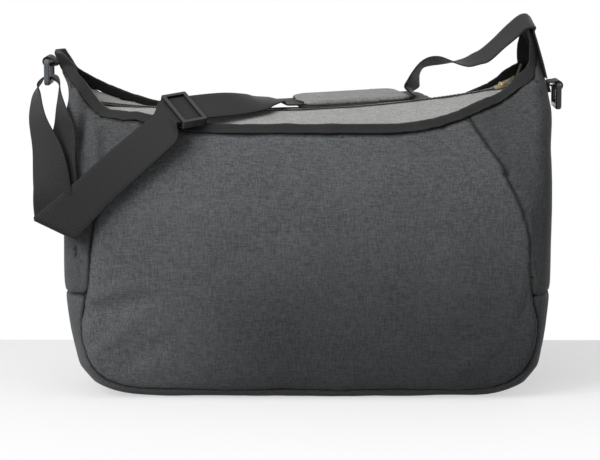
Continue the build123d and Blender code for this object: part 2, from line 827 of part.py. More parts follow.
# the webbing's sewn end goes round the adjuster's middle bar
loop_top = -web_face
loop_bottom = bar_low - web_gap - web_thick
loop_right = glide_bar / 2 + web_gap + web_thick
loop_left = -glide_half + 0.4
with BuildPart() as strap_end_loop:
    with BuildSketch(Plane(origin=glide_centre, x_dir=glide_run, z_dir=-glide_across)) as side:
        with BuildLine():
            Polyline(
                (loop_left, loop_bottom),
                (loop_right, loop_bottom),
                (loop_right, loop_top),
                (loop_left, loop_top),
                close=True,
            )
        make_face()
        with Locations(((loop_left + loop_right) / 2 - web_thick, (loop_top + loop_bottom) / 2)):
            Rectangle(loop_right - loop_left, loop_top - loop_bottom - 2 * web_thick, mode=Mode.SUBTRACT)
    extrude(amount=web_width / 2, both=True)
save(strap_end_loop.part, "strap_end_loop")

# ---------------------------------------------------------------- shoulder pad
pad_plane = Plane(origin=pad_centre, x_dir=pad_run, z_dir=pad_up)
tunnel_half = web_width / 2 + 2 * web_gap
with BuildPart() as pad_cushion:
    with BuildSketch(pad_plane.offset(-web_face)):
        RectangleRounded(pad_length, pad_width, pad_corner)
    extrude(amount=pad_top + web_face)
    chamfer(pad_cushion.faces().sort_by(Axis(pad_centre, pad_up))[-1].edges(), pad_crown)
    with BuildSketch(pad_plane.offset(-web_face)):
        Rectangle(pad_length + pad_corner, 2 * tunnel_half)
    extrude(amount=2 * web_face, mode=Mode.SUBTRACT)
save(pad_cushion.part, "pad_cushion")

with BuildPart() as pad_base:
    with BuildSketch(pad_plane.offset(-web_face - pad_base_thick)):
        with Locations((pad_base_extra / 2, 0)):
            RectangleRounded(
                pad_length + pad_base_extra,
                pad_width + 2 * pad_base_lip,
                pad_corner + pad_base_lip,
            )
    extrude(amount=pad_base_thick)
save(pad_base.part, "pad_base")
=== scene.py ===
"""Messenger bag: the cloth, webbing, metal and moulded finish of its pieces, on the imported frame.

Metres, in the frame's axes: +X to the right, +Y to the back, +Z up.
"""
import math

import bmesh
import bpy
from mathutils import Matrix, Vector, kdtree, noise


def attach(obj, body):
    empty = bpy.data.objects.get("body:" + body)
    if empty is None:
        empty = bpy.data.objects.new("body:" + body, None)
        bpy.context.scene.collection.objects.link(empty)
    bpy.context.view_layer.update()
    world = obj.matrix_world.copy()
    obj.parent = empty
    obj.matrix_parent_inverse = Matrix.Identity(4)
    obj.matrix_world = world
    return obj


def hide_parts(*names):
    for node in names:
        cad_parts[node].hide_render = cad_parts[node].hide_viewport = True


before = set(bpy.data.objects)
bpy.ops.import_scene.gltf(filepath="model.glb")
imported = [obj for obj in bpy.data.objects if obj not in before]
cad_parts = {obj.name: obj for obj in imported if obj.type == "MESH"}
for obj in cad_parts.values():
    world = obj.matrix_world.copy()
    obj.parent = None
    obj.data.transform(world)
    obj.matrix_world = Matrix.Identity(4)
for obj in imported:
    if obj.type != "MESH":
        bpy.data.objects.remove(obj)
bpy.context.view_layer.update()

# ---------------------------------------------------------------- camera
# A long product lens stands 2.4 m in front of the bag, a hand above it, and looks at its belly.
# Its view is 600 mm wide where the bag stands.
CAMERA_PLACE = (0, -2.3821, 0.4825)
CAMERA_AIM = (-0.010, -0.0038, 0.1592)
SENSOR_WIDTH = 36  # mm
FOCAL_LENGTH = 144  # mm


def placed(name, data):
    """A new object in the scene."""
    made = bpy.data.objects.new(name, data)
    bpy.context.scene.collection.objects.link(made)
    return made


def facing(place, aim):
    """The turn of a camera or lamp at a place that looks at another."""
    return (Vector(aim) - Vector(place)).to_track_quat("-Z", "Y").to_euler()


lens = bpy.data.cameras.new("camera")
lens.sensor_width = SENSOR_WIDTH
lens.lens = FOCAL_LENGTH
camera = placed("camera", lens)
camera.location = CAMERA_PLACE
camera.rotation_euler = facing(CAMERA_PLACE, CAMERA_AIM)
bpy.context.scene.camera = camera
bpy.context.scene.view_settings.view_transform = "Standard"


# ---------------------------------------------------------------- studio
# A white table with a white wall behind it, lit by one large soft window on the left and weaker
# ones above, behind and on the right, and by the white room.
TABLE_REACH = 4.0  # from its middle to its sides
TABLE_BACK = 0.256  # the table ends here, and the wall behind it is plain white
TABLE_FRONT = -0.45  # towards the camera the table goes up to white
TABLE_EDGE = 0.001  # half the width of the line between table and wall
TABLE_GLOW = (0.35, 0.95)  # share of plain white in the table, at its back and in front
TABLE_TONE = (0.83, 0.87)  # its grain goes from one to the other
TABLE_GRAIN = 30.0  # clouds about 33 mm apart
TABLE_BOUNCE = 0.30  # share of its tone that the table throws back at the bag
ROOM_LIGHT = 0.26
BAG_MIDDLE = (0, 0, 0.15)  # the lamps are turned to it
PLAIN_WHITE = (1, 1, 1, 1)


def linear(code):
    """The linear colour of an sRGB hex code."""
    parts = [int(code[i:i + 2], 16) / 255 for i in (0, 2, 4)]
    return (*[c / 12.92 if c <= 0.04045 else ((c + 0.055) / 1.055) ** 2.4 for c in parts], 1.0)


def add_node(tree, kind, inputs=(), **settings):
    """Adds a node with its settings, and sets or links its inputs."""
    made = tree.nodes.new(kind)
    for name, value in settings.items():
        setattr(made, name, value)
    for name, value in dict(inputs).items():
        if isinstance(value, bpy.types.NodeSocket):
            tree.links.new(value, made.inputs[name])
        else:
            made.inputs[name].default_value = value
    return made


def cleared_tree(owner):
    """The empty node tree of a material or world."""
    owner.use_nodes = True
    owner.node_tree.nodes.clear()
    return owner.node_tree


def seen_directly(tree):
    """1 for what the camera, a reflection or a clear piece sees, and 0 for what lights the bag."""
    rays = add_node(tree, "ShaderNodeLightPath")
    mirrored = add_node(
        tree, "ShaderNodeMath", {0: rays.outputs["Is Camera Ray"], 1: rays.outputs["Is Glossy Ray"]},
        operation="MAXIMUM",
    )
    return add_node(tree, "ShaderNodeMath", {0: mirrored.outputs[0], 1: rays.outputs["Is Transmission Ray"]},
                    operation="MAXIMUM").outputs[0]


room = bpy.data.worlds.new("white_room")
bpy.context.scene.world = room
tree = cleared_tree(room)
lit = add_node(tree, "ShaderNodeBackground", {"Color": PLAIN_WHITE, "Strength": ROOM_LIGHT})
plain = add_node(tree, "ShaderNodeBackground", {"Color": PLAIN_WHITE, "Strength": 1.0})
both = add_node(tree, "ShaderNodeMixShader", {0: seen_directly(tree), 1: lit.outputs[0], 2: plain.outputs[0]})
add_node(tree, "ShaderNodeOutputWorld", {"Surface": both.outputs[0]})

table_mesh = bmesh.new()
bmesh.ops.create_grid(table_mesh, x_segments=1, y_segments=1, size=TABLE_REACH)
table_data = bpy.data.meshes.new("table_top")
table_mesh.to_mesh(table_data)
table_mesh.free()
table_top = placed("table_top", table_data)

paint = bpy.data.materials.new("white_laminate")
tree = cleared_tree(paint)
place = add_node(tree, "ShaderNodeNewGeometry")
split = add_node(tree, "ShaderNodeSeparateXYZ", {0: place.outputs["Position"]})
far = add_node(tree, "ShaderNodeMapRange", {"Value": split.outputs["Y"], "From Min": TABLE_BACK - TABLE_EDGE,
                                            "From Max": TABLE_BACK + TABLE_EDGE})
near = add_node(tree, "ShaderNodeMapRange", {"Value": split.outputs["Y"], "From Min": TABLE_BACK,
                                             "From Max": TABLE_FRONT, "To Min": TABLE_GLOW[0],
                                             "To Max": TABLE_GLOW[1]}, interpolation_type="SMOOTHSTEP")
glow = add_node(tree, "ShaderNodeMath", {0: far.outputs[0], 1: near.outputs[0]}, operation="MAXIMUM")
grain = add_node(tree, "ShaderNodeTexNoise", {"Vector": place.outputs["Position"], "Scale": TABLE_GRAIN})
tone = add_node(tree, "ShaderNodeMapRange", {"Value": grain.outputs["Fac"], "To Min": TABLE_TONE[0],
                                             "To Max": TABLE_TONE[1]})
seen = add_node(tree, "ShaderNodeMapRange", {"Value": seen_directly(tree), "To Min": TABLE_BOUNCE,
                                             "To Max": 1.0})
matt_tone = add_node(tree, "ShaderNodeMath", {0: tone.outputs[0], 1: seen.outputs[0]}, operation="MULTIPLY")
matt = add_node(tree, "ShaderNodeBsdfPrincipled", {"Base Color": matt_tone.outputs[0], "Roughness": 0.7})
white = add_node(tree, "ShaderNodeEmission", {"Color": PLAIN_WHITE, "Strength": 1.0})
share = add_node(tree, "ShaderNodeMath", {0: glow.outputs[0], 1: seen_directly(tree)}, operation="MULTIPLY")
both = add_node(tree, "ShaderNodeMixShader", {0: share.outputs[0], 1: matt.outputs[0], 2: white.outputs[0]})
add_node(tree, "ShaderNodeOutputMaterial", {"Surface": both.outputs[0]})
table_data.materials.append(paint)


def window(name, place, size, power):
    """A soft rectangular light of so many watts that faces the bag."""
    light = bpy.data.lights.new(name, "AREA")
    light.shape = "RECTANGLE"
    light.size, light.size_y = size
    light.energy = power
    lamp = placed(name, light)
    lamp.location = place
    lamp.rotation_euler = facing(place, BAG_MIDDLE)


window("left_window", (-1.25, -1.15, 1.15), (1.1, 1.1), 28.5)
window("right_window", (2.2, -1.0, 0.9), (1.2, 1.4), 2)
window("back_window", (1.3, 2.4, 0.7), (1.4, 1.0), 16)
window("top_window", (-0.2, -0.4, 2.2), (1.4, 1.0), 12)


# ---------------------------------------------------------------- body cloth
# The body is sewn from five panels of solution-dyed polyester: a plain weave of dark grey threads
# with paler ones among them, on thin foam. It gives a matt, cross-hatched grey with short streaks.
MM = 0.001
HALF_WIDTH = 0.244  # the body, for telling which way is out
HALF_DEPTH = 0.075
BASE_ROUND = 0.040  # radius of its lower edge
SAME_PLACE = 0.02 * MM  # corners of the CAD mesh nearer than this are one
OUTER_SHARE = 0.5  # a face that looks less than this outwards is an edge or the inside
SQUARE = 5 * MM  # the cloth is cut this fine, to bend
CUT_SLACK = 0.9 * MM  # corners nearer than this are merged after the cuts
UNDER_BINDING = 0.236  # from here up the seams end under the strip round the mouth
CLOTH_THICK = 2.6 * MM
SEAM_DEPTH = 2.0 * MM  # how far the stitching draws an edge in
SEAM_REACH = 5 * MM
SEAM_PUCKER = 9 * MM  # from pucker to pucker
GROOVE_PAINTED_SHADE = 0.30  # painted shade: the cloth's colour in the groove of a seam or a deep fold
SEAM_START = 0.35  # it darkens from this share of the way into the groove
DEEP_FOLD = -3.0  # a fold deeper than this gets painted shade like a seam, in mm
THREAD = 1.1 * MM  # the real threads are 0.4 mm apart, too fine to show
STREAK = 8 * MM  # a slub's length
THREAD_SPREAD = 0.26  # most of the summed thread pattern lies this near its middle
CLOUD_SCALE = 14.0  # blotches about 70 mm apart
SHADE_LOW = 0.03  # from here up to SHADE_HIGH the painted shade of the darker base fades out
SHADE_HIGH = 0.21
SHADE_LEFT = -0.20  # and from here right to SHADE_RIGHT it comes in
SHADE_RIGHT = -0.02


def melange(name, dark, pale, contrast=1.0, shade=0.10, base_shade=0.0):
    """Plain-woven polyester of mixed grey threads.

    shade is the depth of its blotches, and base_shade how much painted shade darkens it towards the base and
    the right side, where less light falls.
    """
    made = bpy.data.materials.new(name)
    tree = cleared_tree(made)
    place = add_node(tree, "ShaderNodeTexCoord").outputs["Object"]
    threads = []
    for axis in range(3):
        spacing = [1 / THREAD] * 3
        spacing[axis] = 1 / STREAK
        run = add_node(tree, "ShaderNodeMapping", {"Vector": place, "Scale": spacing})
        threads.append(add_node(tree, "ShaderNodeTexNoise", {"Vector": run.outputs[0], "Scale": 1.0,
                                                             "Detail": 2.0, "Roughness": 0.6}).outputs["Fac"])
    two = add_node(tree, "ShaderNodeMath", {0: threads[0], 1: threads[1]}, operation="ADD")
    three = add_node(tree, "ShaderNodeMath", {0: two.outputs[0], 1: threads[2]}, operation="ADD")
    spread = THREAD_SPREAD / contrast
    mix = add_node(tree, "ShaderNodeMapRange", {"Value": three.outputs[0], "From Min": 1.5 - spread,
                                                "From Max": 1.5 + spread})
    cloud = add_node(tree, "ShaderNodeTexNoise", {"Vector": place, "Scale": CLOUD_SCALE, "Detail": 3.0})
    blotch = add_node(tree, "ShaderNodeMapRange", {"Value": cloud.outputs["Fac"], "From Min": 0.3,
                                                   "From Max": 0.7, "To Min": -shade, "To Max": shade})
    tone = add_node(tree, "ShaderNodeMath", {0: mix.outputs[0], 1: blotch.outputs[0]}, operation="ADD",
                    use_clamp=True)
    hue = add_node(tree, "ShaderNodeMix", {0: tone.outputs[0], 6: linear(dark), 7: linear(pale)},
                   data_type="RGBA")
    if base_shade:
        # Painted shade: the cloth is painted darker towards the base and to the right, where less light
        # falls.
        split = add_node(tree, "ShaderNodeSeparateXYZ", {0: place})
        lift = add_node(tree, "ShaderNodeMapRange", {"Value": split.outputs["Z"], "From Min": SHADE_LOW,
                                                     "From Max": SHADE_HIGH, "To Min": 1.0, "To Max": 0.0},
                        interpolation_type="SMOOTHSTEP")
        side = add_node(tree, "ShaderNodeMapRange", {"Value": split.outputs["X"], "From Min": SHADE_LEFT,
                                                     "From Max": SHADE_RIGHT, "To Min": 0.0,
                                                     "To Max": base_shade}, interpolation_type="SMOOTHSTEP")
        painted_base_shade = add_node(tree, "ShaderNodeMath", {0: lift.outputs[0], 1: side.outputs[0]},
                        operation="MULTIPLY")
        kept = add_node(tree, "ShaderNodeMath", {0: 1.0, 1: painted_base_shade.outputs[0]}, operation="SUBTRACT")
        hue = add_node(tree, "ShaderNodeMix", {0: 1.0, 6: hue.outputs[2], 7: kept.outputs[0]},
                       data_type="RGBA", blend_type="MULTIPLY")
        # Painted shade in the grooves of seams and deep folds.
        groove = add_node(tree, "ShaderNodeAttribute", attribute_name="painted_groove_shade")
        shaded = add_node(tree, "ShaderNodeMapRange", {"Value": groove.outputs["Fac"], "From Min": SEAM_START,
                                                       "To Min": 1.0, "To Max": GROOVE_PAINTED_SHADE})
        hue = add_node(tree, "ShaderNodeMix", {0: 1.0, 6: hue.outputs[2], 7: shaded.outputs[0]},
                       data_type="RGBA", blend_type="MULTIPLY")
    relief = add_node(tree, "ShaderNodeBump", {"Height": three.outputs[0], "Strength": 0.35,
                                               "Distance": 0.25 * MM})
    cloth = add_node(tree, "ShaderNodeBsdfPrincipled", {"Base Color": hue.outputs[2], "Roughness": 0.88,
                                                        "Normal": relief.outputs[0], "Sheen Weight": 0.12,
                                                        "Sheen Roughness": 0.5, "Specular IOR Level": 0.25})
    add_node(tree, "ShaderNodeOutputMaterial", {"Surface": cloth.outputs[0]})
    return made


def away(point):
    """The way out of the bag at a point of its body."""
    level = max(point.z, BASE_ROUND)
    out = Vector((point.x / HALF_WIDTH**2, point.y / HALF_DEPTH**2, (point.z - level) / BASE_ROUND**2))
    return out.normalized()


def copy_of(node_name):
    """A node's mesh with its corners merged."""
    mesh = bmesh.new()
    mesh.from_mesh(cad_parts[node_name].data)
    bmesh.ops.remove_doubles(mesh, verts=mesh.verts, dist=SAME_PLACE)
    return mesh


def cut_in_squares(mesh, size, axes=(0, 1, 2)):
    """Cuts a mesh along level and upright planes, so that it can bend like cloth."""
    for axis in axes:
        places = [v.co[axis] for v in mesh.verts]
        across = Vector((0, 0, 0))
        across[axis] = 1
        for step in range(math.floor(min(places) / size) + 1, math.ceil(max(places) / size)):
            everything = mesh.verts[:] + mesh.edges[:] + mesh.faces[:]
            bmesh.ops.bisect_plane(mesh, geom=everything, dist=0.01 * MM, plane_co=across * size * step,
                                   plane_no=across)


def relax(mesh, times, held_edges=True):
    """Evens out a cloth."""
    loose = [v for v in mesh.verts if not (held_edges and v.is_boundary)]
    for _ in range(times):
        bmesh.ops.smooth_vert(mesh, verts=loose, factor=0.5, use_axis_x=True, use_axis_y=True,
                              use_axis_z=True)


def shift_corners(mesh, moves):
    """Moves every corner of a mesh by its own step."""
    for v, move in zip(mesh.verts, moves):
        v.co += move


def ease_outline(mesh, times, highest):
    """Takes the kinks out of a sheet's outline below a height."""
    for _ in range(times):
        places = []
        for v in mesh.verts:
            ends = [e.other_vert(v).co for e in v.link_edges if e.is_boundary]
            if len(ends) == 2 and v.co.z < highest:
                places.append((v, v.co.lerp((ends[0] + ends[1]) / 2, 0.5)))
        for v, place in places:
            v.co = place


def roll_in_edges(mesh, depth, reach):
    """Draws a sheet's edges into the seam, with the small puckers of the stitching, and paints shade into the
    groove.
    """
    edge = [v for v in mesh.verts if v.is_boundary]
    tree = kdtree.KDTree(len(edge))
    for i, v in enumerate(edge):
        tree.insert(v.co, i)
    tree.balance()
    mesh.normal_update()
    painted_groove_shade = mesh.verts.layers.float["painted_groove_shade"]
    moves = []
    for v in mesh.verts:
        share = max(1 - tree.find(v.co)[2] / reach, 0)
        # Painted shade: the nearer a corner lies to the seam, the darker the cloth is painted.
        v[painted_groove_shade] = max(v[painted_groove_shade], share)
        pucker = 1 + 0.9 * noise.noise(v.co / SEAM_PUCKER)
        moves.append(v.normal * (-depth * pucker * share * share))
    shift_corners(mesh, moves)


def crease(mesh, folds, front=True):
    """Presses soft folds into a panel. A fold is (start, end, width, height), with x and z in mm."""
    mesh.normal_update()
    painted_groove_shade = mesh.verts.layers.float.new("painted_groove_shade")
    moves = []
    for v in mesh.verts:
        here = Vector((v.co.x, v.co.z)) / MM
        rise = 0
        if (v.co.y < 0) == front:
            for start, end, width, height in folds:
                start, end = Vector(start), Vector(end)
                along = (here - start).dot(end - start) / (end - start).length_squared
                reach = min(max(along, 0), 1)
                off = (here - start.lerp(end, reach)).length
                fade = math.sin(math.pi * (0.08 + 0.84 * reach))  # the fold runs out at both ends
                share = math.exp(-((off / width) ** 2)) * fade
                rise += height * share
                # A deep fold's valley is painted darker, as painted shade.
                if height < DEEP_FOLD:
                    v[painted_groove_shade] = max(v[painted_groove_shade], share)
        moves.append(v.normal * rise * MM)
    shift_corners(mesh, moves)


def ripple(mesh, height, length, seed):
    """Slight unevenness of a cloth that hangs free."""
    mesh.normal_update()
    shift = Vector((seed, 2 * seed, 3 * seed))
    shift_corners(mesh, [v.normal * (height * noise.noise(v.co / length + shift)) for v in mesh.verts])


def smoothstep(value, low, high):
    """0 up to low, 1 from high on, and a soft step between them."""
    t = min(max((value - low) / (high - low), 0), 1)
    return t * t * (3 - 2 * t)


# The sides sink in between the seams. Heights and places are in metres, and depths in mm.
SEAM_HALF_DEPTH = 0.068  # the long seams run at this y, in front and behind
SINK_INNER = 0.130  # the sinking starts at this distance from the middle
SINK_OUTER = 0.225  # and is whole from here out
CORNER_TOP = 0.118  # the lower corners sink below here
LEFT_CORNER = 17
RIGHT_CORNER = 12
WAIST_TOP = 0.285  # the right side sinks below here
WAIST_RUN = 0.045  # over this height
RIGHT_WAIST = 5.5


def settle(mesh):
    """Lets the body's sides sink in between the seams, most of all in the lower corners."""
    for v in mesh.verts:
        between = 1 - min(abs(v.co.y) / SEAM_HALF_DEPTH, 1) ** 4
        far_out = smoothstep(abs(v.co.x), SINK_INNER, SINK_OUTER)
        low = min(max(1 - v.co.z / CORNER_TOP, 0), 1) ** 1.6
        if v.co.x < 0:
            sink = LEFT_CORNER * low
        else:
            sink = RIGHT_WAIST * smoothstep(WAIST_TOP - v.co.z, 0, WAIST_RUN) + RIGHT_CORNER * low
        v.co.x -= math.copysign(sink * between * far_out * MM, v.co.x)


# The horns don't stand straight: the front of the mouth is dragged down beside them, the left
# one has slumped, and the right one gapes. A pull is (x, z, shift in x, shift in z) in mm.
PULL_REACH = 13  # mm
PULL_HOLD = 0.15  # how firmly the cloth keeps its place far from every pull
PULLED_FROM = 0.25  # below this height nothing is dragged
FRONT_START = 0.006  # the front pulls take over from this far in front of the middle
FRONT_WHOLE = 0.032  # and act alone from here
THIN_START = 0.010  # in the thin horns both places come nearer by these
THIN_WHOLE = 0.020
HORN_LOW = 312  # the body thins into the horns between these heights, in mm
HORN_HIGH = 335
FRONT_PULLS = (
    (-257, 356, 3, -14), (-241, 355, 4, -14), (-249, 345, 3, -12), (-235, 337, 5, -7), (-246, 325, 1, 0),
    (-232, 321, 11, -4), (-217, 311, 9, -9), (-206, 303, 5, -14), (-195, 296, 2, -11), (-181, 289, 0, -5),
    (-238, 311, 7, 2), (-224, 302, 4, -8), (-215, 297, 3, -15), (-204, 292, 1, -17), (-187, 282, 0, -9),
    (-165, 285, 0, 0), (-168, 270, 0, 0), (-246, 300, 5, 0), (-230, 280, 0, 0), (-200, 265, 0, -2),
    (187, 306, 0, -5), (200, 317, 1, -6), (210, 328, 5, -5), (210, 345, 6, 0), (210, 362, 5, -5),
    (165, 298, 0, 0), (220, 318, 0, 0), (228, 330, 0, 0), (225, 345, 0, 0), (222, 362, 0, -4),
    (205, 300, 0, 0),
)
BACK_PULLS = (
    (-257, 356, 3, -14), (-241, 355, 3, -14), (-247, 342, 2, -8), (-245, 325, 0, 0), (-246, 300, 5, 0),
    (207, 315, -9, 1), (208, 330, -11, 0), (208, 348, -9, 0), (208, 362, -4, -4), (221, 362, 0, -4),
    (190, 305, -2, 0), (222, 315, 0, 0), (228, 325, 0, 0), (226, 345, 0, 0), (235, 310, 0, 0),
)


# The strip round the mouth is narrower in front than its tape was cut, because it folds under.
STRIP_LIFT = 3.0  # mm
STRIP_REACH = 5  # height of the band that is lifted, in mm
STRIP_FRONT = -0.03  # it lies in front of this y
BINDING_SQUARE = 3.5 * MM
strip_low = {}
gauge = copy_of("front_binding")
cut_in_squares(gauge, BINDING_SQUARE, (0,))
for v in gauge.verts:
    if v.co.y < STRIP_FRONT:
        column = round(v.co.x / BINDING_SQUARE)
        strip_low[column] = min(strip_low.get(column, math.inf), v.co.z / MM)
gauge.free()


def strip_edge(x):
    """Height of the front strip's lower edge at x, in mm."""
    column = round(x * MM / BINDING_SQUARE)
    column = min(max(column, min(strip_low)), max(strip_low))
    near = [strip_low[k] for k in range(column - 2, column + 3) if k in strip_low]
    return sum(near) / len(near)


def drag(mesh):
    """Applies the pulls, the front ones in front and the back ones behind, and narrows the front strip."""
    for v in mesh.verts:
        if v.co.z < PULLED_FROM:
            continue
        here = Vector((v.co.x, v.co.z)) / MM
        high = smoothstep(here.y, HORN_LOW, HORN_HIGH)
        front_share = smoothstep(-v.co.y, FRONT_START - THIN_START * high, FRONT_WHOLE - THIN_WHOLE * high)
        shift = Vector((0, 0))
        for pulls, share in ((FRONT_PULLS, front_share), (BACK_PULLS, 1 - front_share)):
            total = PULL_HOLD
            part = Vector((0, 0))
            for x, z, shift_x, shift_z in pulls:
                pull = math.exp(-(((here.x - x) ** 2 + (here.y - z) ** 2) / PULL_REACH**2))
                total += pull
                part += Vector((shift_x, shift_z)) * pull
            shift += part * share / total
        if v.co.y < STRIP_FRONT:
            shift.y += STRIP_LIFT * math.exp(-(((here.y - strip_edge(here.x)) / STRIP_REACH) ** 2))
        v.co.x += shift.x * MM
        v.co.z += shift.y * MM


def make_piece(mesh, name, body, material, nodes, thickness=0, middle=False):
    """Turns a bmesh into a finished piece that rides on a body and stands for CAD nodes.

    A thickness goes inwards from the mesh, or to both sides of it with middle.
    """
    data = bpy.data.meshes.new(name)
    mesh.to_mesh(data)
    mesh.free()
    data.shade_smooth()
    data.materials.append(material)
    piece = placed(name, data)
    if thickness:
        shell = piece.modifiers.new("thickness", "SOLIDIFY")
        shell.thickness = thickness
        shell.offset = 0 if middle else -1
    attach(piece, body)
    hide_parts(*nodes)
    return piece


OUTLINE_PASSES = 12  # how often a panel's outline and then its whole mesh are evened out
PANEL_PASSES = 8
PANEL_RIPPLE = 0.9 * MM
PANEL_RIPPLE_LENGTH = 55 * MM


def panel(node_name, material, folds=(), axes=(0, 1, 2)):
    """One panel of the body, from the outer skin of its node.

    It is relaxed, creased and rolled into its seams. A flat panel needs no cuts along its axis.
    """
    mesh = copy_of(node_name)
    inner = [f for f in mesh.faces if f.normal.dot(away(f.calc_center_median())) < OUTER_SHARE]
    bmesh.ops.delete(mesh, geom=inner, context="FACES")
    cut_in_squares(mesh, SQUARE, axes)
    bmesh.ops.remove_doubles(mesh, verts=mesh.verts, dist=CUT_SLACK)
    ease_outline(mesh, OUTLINE_PASSES, UNDER_BINDING)
    relax(mesh, PANEL_PASSES)
    ripple(mesh, PANEL_RIPPLE, PANEL_RIPPLE_LENGTH, len(node_name))
    crease(mesh, folds)
    roll_in_edges(mesh, SEAM_DEPTH, SEAM_REACH)
    settle(mesh)
    drag(mesh)
    make_piece(mesh, node_name + "_cloth", "bag", material, [node_name], CLOTH_THICK)


# base_shade paints shade onto the lower body, darkest at the base towards the right.
body_cloth = melange("dope_dyed_polyester_weave", "484a4c", "696b6d", base_shade=0.58)
base_cloth = melange("dope_dyed_polyester_weave_dark", "434547", "5f6163", base_shade=0.36)
front_folds = [
    ((-190, 262), (-182, 205), 8, -2.4),
    ((-172, 262), (-166, 215), 8, 1.8),
    ((-218, 200), (-209, 115), 5, -2.6),
    ((-222, 98), (-160, 118), 6, 2.0),
    ((-224, 86), (-150, 100), 6, -2.4),
    ((-215, 40), (-165, 84), 7, 2.2),
    ((-190, 30), (-130, 66), 9, -1.8),
    ((-120, 40), (120, 30), 16, -1.2),
    ((130, 20), (196, 62), 10, 1.6),
    ((205, 70), (216, 110), 6, -1.6),
    ((214, 40), (222, 84), 5, 1.8),
]
panel("front_panel", body_cloth, front_folds, axes=(0, 2))
panel("back_panel", body_cloth, axes=(0, 2))
panel("bottom_panel", base_cloth)
# The gussets' cloth is painted a little darker, as painted shade where they turn away from the light.
gusset_cloth = melange("dope_dyed_polyester_weave_gusset_painted_shade", "3b3d3e", "57595a", base_shade=0.08)
right_folds = [
    ((180, 282), (224, 205), 12, -3.0),
    ((212, 335), (228, 250), 9, 2.6),
    ((196, 262), (212, 216), 7, 1.8),
    ((222, 200), (222, 120), 8, -1.6),
]
panel("right_gusset", gusset_cloth, right_folds)
left_folds = [
    ((-236, 325), (-228, 262), 8, 2.5),
    ((-213, 298), (-204, 214), 6, 3.0),
    ((-221, 292), (-225, 240), 5, -3.2),
    ((-208, 300), (-195, 286), 4, -2.5),
    ((-202, 268), (-197, 226), 5, -2.0),
    ((-226, 150), (-223, 105), 5, -1.6),
]
panel("left_gusset", gusset_cloth, left_folds)


# ---------------------------------------------------------------- mouth binding
# A folded strip of black polyester plain weave is sewn over the raw edge of the mouth.
# It is slightly glossier than the body, and its edge wanders with the stitching.
BINDING_RIPPLE = 0.7 * MM
BINDING_RIPPLE_LENGTH = 16 * MM
FADE_SCALE = 35.0  # dark cloth fades in clouds about 29 mm apart


def fine_cloth(name, colour, thread, rough=0.75):
    """Tightly woven or ribbed dark cloth of one colour, with a fine even grain."""
    made = bpy.data.materials.new(name)
    tree = cleared_tree(made)
    place = add_node(tree, "ShaderNodeTexCoord").outputs["Object"]
    weave = add_node(tree, "ShaderNodeTexNoise", {"Vector": place, "Scale": 1 / thread, "Detail": 2.0})
    cloud = add_node(tree, "ShaderNodeTexNoise", {"Vector": place, "Scale": FADE_SCALE})
    total = add_node(tree, "ShaderNodeMath", {0: weave.outputs["Fac"], 1: cloud.outputs["Fac"]},
                     operation="ADD")
    level = add_node(tree, "ShaderNodeMapRange", {"Value": total.outputs[0], "From Min": 0.6, "From Max": 1.4,
                                                  "To Min": 0.65, "To Max": 1.45})
    hue = add_node(tree, "ShaderNodeMix", {0: 1.0, 6: linear(colour), 7: level.outputs[0]}, data_type="RGBA",
                   blend_type="MULTIPLY")
    relief = add_node(tree, "ShaderNodeBump", {"Height": weave.outputs["Fac"], "Strength": 0.3,
                                               "Distance": 0.25 * MM})
    cloth = add_node(tree, "ShaderNodeBsdfPrincipled", {"Base Color": hue.outputs[2], "Roughness": rough,
                                                        "Normal": relief.outputs[0], "Sheen Weight": 0.08,
                                                        "Specular IOR Level": 0.3})
    add_node(tree, "ShaderNodeOutputMaterial", {"Surface": cloth.outputs[0]})
    return made


binding_cloth = fine_cloth("polyester_binding_strip", "191818", 1.2 * MM)
for node_name in ("front_binding", "back_binding"):
    mesh = copy_of(node_name)
    cut_in_squares(mesh, BINDING_SQUARE)
    relax(mesh, 5, held_edges=False)
    ripple(mesh, BINDING_RIPPLE, BINDING_RIPPLE_LENGTH, 5)
    drag(mesh)
    make_piece(mesh, node_name + "_strip", "bag", binding_cloth, [node_name])


# ---------------------------------------------------------------- closure flaps and zipper
# Two strips of pale grey polyester run from the binding down to the zipper.
# The zipper has gunmetal-plated teeth on black herringbone tape and a plated brass slider.
FLAP_THICK = 0.8 * MM
FLAP_UPPER = 0.3  # a face of a flap that looks less than this upwards is an edge or the underside
FLAP_RIPPLE = 0.9 * MM
FLAP_RIPPLE_LENGTH = 18 * MM
TAPE_RIPPLE = 0.15 * MM
TAPE_RIPPLE_LENGTH = 8 * MM
RUB_MARKS = (200, 1400, 900)  # marks per metre along each axis
pale_cloth = melange("pale_polyester_weave", "8a8a88", "b0b0ae", 0.9, 0.05)
flap_folds = {
    "front_flap": [((-210, 285), (-150, 276), 4, -1.2)],
    "back_flap": [((-214, 300), (-178, 284), 3, -2.2), ((-178, 284), (-150, 281), 3, -1.6)],
}
for node_name, folds in flap_folds.items():
    mesh = copy_of(node_name)
    under = [f for f in mesh.faces if f.normal.z < FLAP_UPPER]
    bmesh.ops.delete(mesh, geom=under, context="FACES")
    cut_in_squares(mesh, BINDING_SQUARE, (0, 1))
    relax(mesh, 4)
    ripple(mesh, FLAP_RIPPLE, FLAP_RIPPLE_LENGTH, 3)
    crease(mesh, folds, front=node_name == "front_flap")
    drag(mesh)
    make_piece(mesh, node_name + "_cloth", "bag", pale_cloth, [node_name], FLAP_THICK)

tape_cloth = fine_cloth("herringbone_zip_tape", "232324", 0.8 * MM)
for node_name in ("front_zip_tape", "back_zip_tape", "zip_end_tab"):
    mesh = copy_of(node_name)
    cut_in_squares(mesh, BINDING_SQUARE)
    ripple(mesh, TAPE_RIPPLE, TAPE_RIPPLE_LENGTH, 2)
    make_piece(mesh, node_name + "_cloth", "bag", tape_cloth, [node_name])


